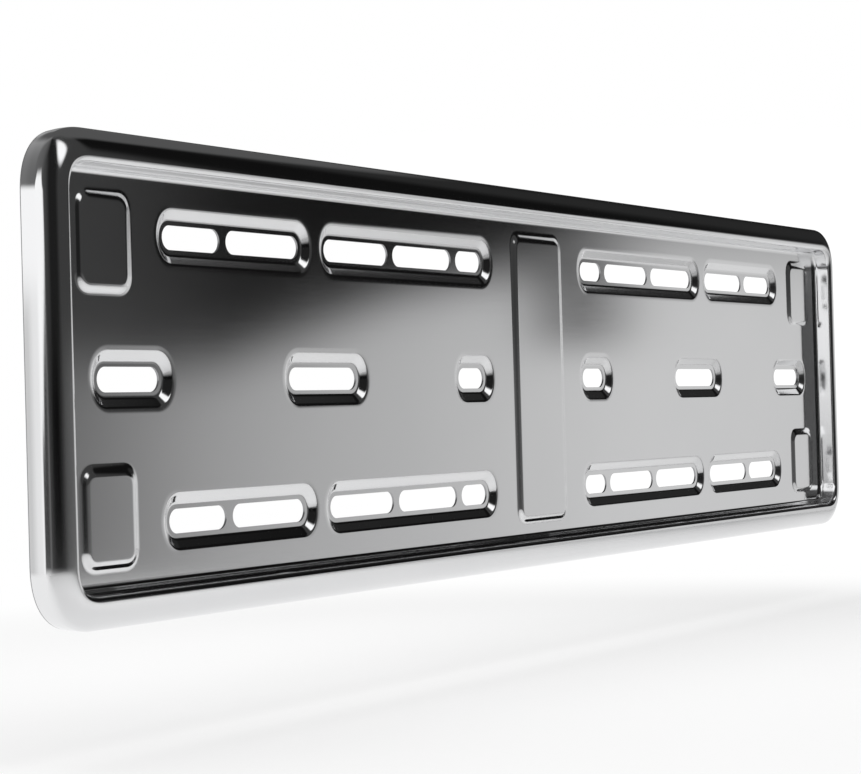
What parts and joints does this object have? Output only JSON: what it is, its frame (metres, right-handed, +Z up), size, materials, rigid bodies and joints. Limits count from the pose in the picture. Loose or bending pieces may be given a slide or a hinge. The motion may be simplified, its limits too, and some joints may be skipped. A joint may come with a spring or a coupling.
{
  "type": "number plate holder",
  "caption": "Long shallow tray pressed from polished stainless sheet, with a rounded bead rim, slotted dishes for fixing screws and a raised rib and pads that carry a number plate.",
  "frame": {"origin": "middle of the tray, on the mounting plane where the backs of the dish floors rest", "axes": "+X along the plate, +Z up as mounted, +Y back towards the car; the open front looks along -Y"},
  "size_m": [0.5478, 0.0101, 0.1336],
  "materials": {
    "polished_steel": "mirror polished stainless steel"
  },
  "bodies": {
    "root": {"plate_holder": "polished_steel"}
  },
  "joints": []
}
